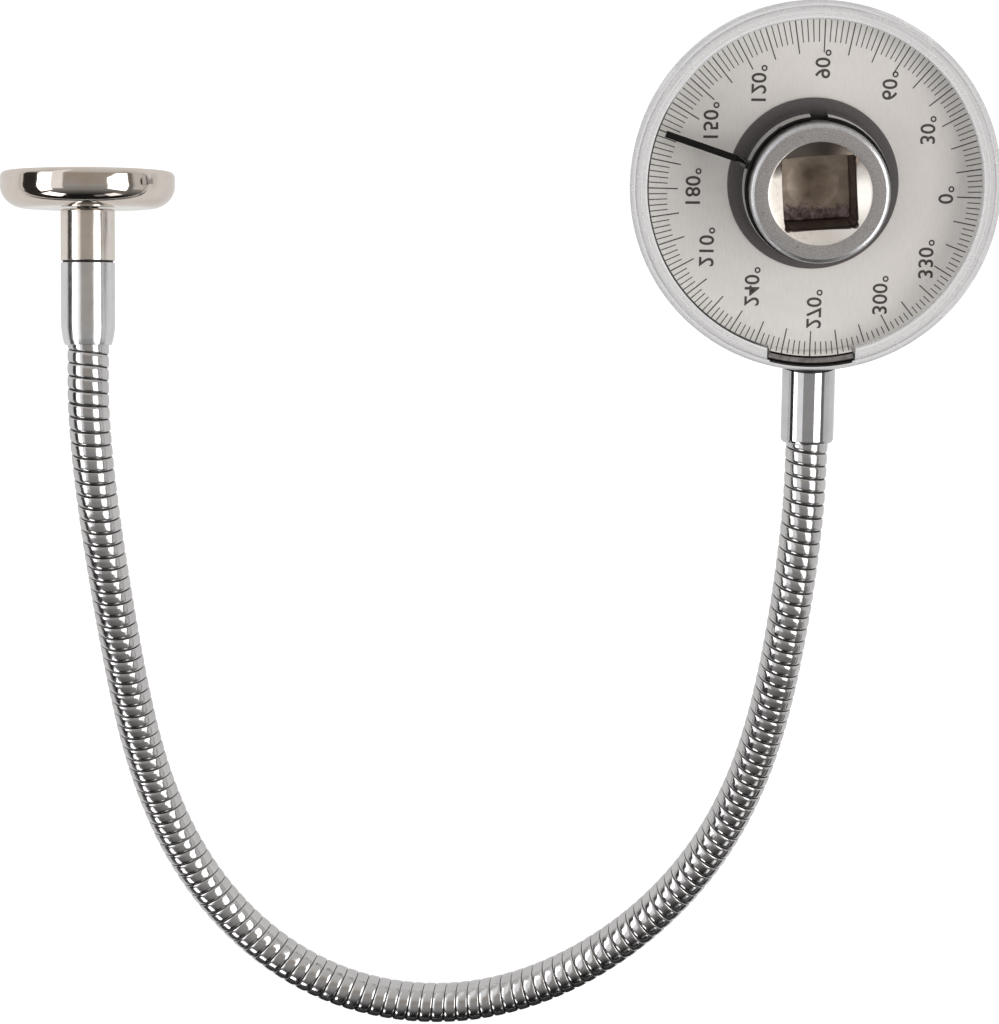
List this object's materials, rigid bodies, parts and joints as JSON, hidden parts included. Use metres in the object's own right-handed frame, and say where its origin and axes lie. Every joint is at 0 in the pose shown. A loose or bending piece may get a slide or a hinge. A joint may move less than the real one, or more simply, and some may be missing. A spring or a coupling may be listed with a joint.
{
  "type": "torque angle gauge",
  "caption": "Angle gauge for a square drive: a degree dial in a clear rim round a spindle with a pointer, held still by a flexible metal arm with a round magnet.",
  "frame": {"origin": "centre of the male square's end face, on the drive axis", "axes": "+Z along the drive axis from the male square to the female square; the arm leaves the dial housing towards -Y, and the zero of the dial faces +X"},
  "size_m": [0.1797, 0.2003, 0.046],
  "materials": {
    "drive_steel": "satin, finely pitted plating",
    "ball_steel": "polished",
    "spring_steel": "plain rolled steel",
    "pointer_black": "glossy black",
    "clear_plastic": "clear, with fine turned lines",
    "dial_silver": "satin silver with printed scale",
    "black_nylon": "matte black",
    "dark_fibre": "matte dark grey",
    "chrome_plate": "bright cool plating",
    "nickel_plate": "bright warm plating",
    "ferrite": "matte sintered"
  },
  "bodies": {
    "housing": {"housing": "clear_plastic", "dial_plate": "dial_silver", "bezel_ring": "clear_plastic", "bearing_bush": "black_nylon", "friction_washer": "dark_fibre", "lower_washer": "spring_steel", "wave_washer": "spring_steel", "arm_backing_plate": "spring_steel", "arm_stud": "spring_steel", "arm_washer": "black_nylon", "dial_ferrule": "chrome_plate", "gooseneck_01": "chrome_plate"},
    "spindle": {"drive_body": "drive_steel", "detent_spring": "spring_steel", "retaining_ring": "spring_steel"},
    "detent": {"detent_ball": "ball_steel"},
    "pointer": {"pointer": "pointer_black"},
    "arm_02": {"gooseneck_02": "chrome_plate"},
    "arm_03": {"gooseneck_03": "chrome_plate"},
    "arm_04": {"gooseneck_04": "chrome_plate"},
    "arm_05": {"gooseneck_05": "chrome_plate"},
    "arm_06": {"gooseneck_06": "chrome_plate"},
    "arm_07": {"gooseneck_07": "chrome_plate"},
    "arm_08": {"gooseneck_08": "chrome_plate"},
    "arm_09": {"gooseneck_09": "chrome_plate"},
    "magnet_end": {"gooseneck_10": "chrome_plate", "magnet_ferrule": "chrome_plate", "magnet_stem": "nickel_plate", "magnet_cup": "nickel_plate", "magnet_ring": "ferrite", "magnet_screw": "spring_steel"}
  },
  "joints": [
    {"name": "drive_spin", "type": "hinge", "parent": "housing", "child": "spindle", "pos_m": [0, 0, 0.026], "axis": [0, 0, 1], "continuous": true},
    {"name": "pointer_zero", "type": "hinge", "parent": "spindle", "child": "pointer", "pos_m": [0, 0, 0.036], "axis": [0, 0, 1], "continuous": true},
    {"name": "detent_press", "type": "slide", "parent": "spindle", "child": "detent", "axis": [-0.9976, -0.0698, 0], "range_m": [0, 0.0008], "stiffness_N_per_m": 3000, "springref_m": -0.001},
    {"name": "arm_bend_1", "type": "hinge", "parent": "housing", "child": "arm_02", "pos_m": [-0.00063, -0.06409, 0.03096], "axis": [-0.0083, -0.1123, 0.9936], "range_deg": [-4, 30]},
    {"name": "arm_bend_2", "type": "hinge", "parent": "arm_02", "child": "arm_03", "pos_m": [-0.0049, -0.09847, 0.02451], "axis": [-0.9821, 0.1882, 0], "range_deg": [-20, 20]},
    {"name": "arm_bend_3", "type": "hinge", "parent": "arm_03", "child": "arm_04", "pos_m": [-0.0165, -0.13043, 0.01581], "axis": [-0.1285, -0.213, 0.9686], "range_deg": [-4, 30]},
    {"name": "arm_bend_4", "type": "hinge", "parent": "arm_04", "child": "arm_05", "pos_m": [-0.04018, -0.15492, 0.00786], "axis": [-0.5347, 0.845, 0], "range_deg": [-20, 20]},
    {"name": "arm_bend_5", "type": "hinge", "parent": "arm_05", "child": "arm_06", "pos_m": [-0.07347, -0.16343, 0.0039], "axis": [-0.0302, 0.0032, 0.9995], "range_deg": [-4, 30]},
    {"name": "arm_bend_6", "type": "hinge", "parent": "arm_06", "child": "arm_07", "pos_m": [-0.10445, -0.14811, 0.00424], "axis": [0.717, 0.6971, 0], "range_deg": [-20, 20]},
    {"name": "arm_bend_7", "type": "hinge", "parent": "arm_07", "child": "arm_08", "pos_m": [-0.12099, -0.11779, 0.00923], "axis": [0.0565, -0.1999, 0.9782], "range_deg": [-4, 30]},
    {"name": "arm_bend_8", "type": "hinge", "parent": "arm_08", "child": "arm_09", "pos_m": [-0.12686, -0.08395, 0.01714], "axis": [0.9928, 0.1199, 0], "range_deg": [-20, 20]},
    {"name": "arm_bend_9", "type": "hinge", "parent": "arm_09", "child": "magnet_end", "pos_m": [-0.13031, -0.04933, 0.02262], "axis": [0.0024, -0.0366, 0.9993], "range_deg": [-4, 30]}
  ]
}
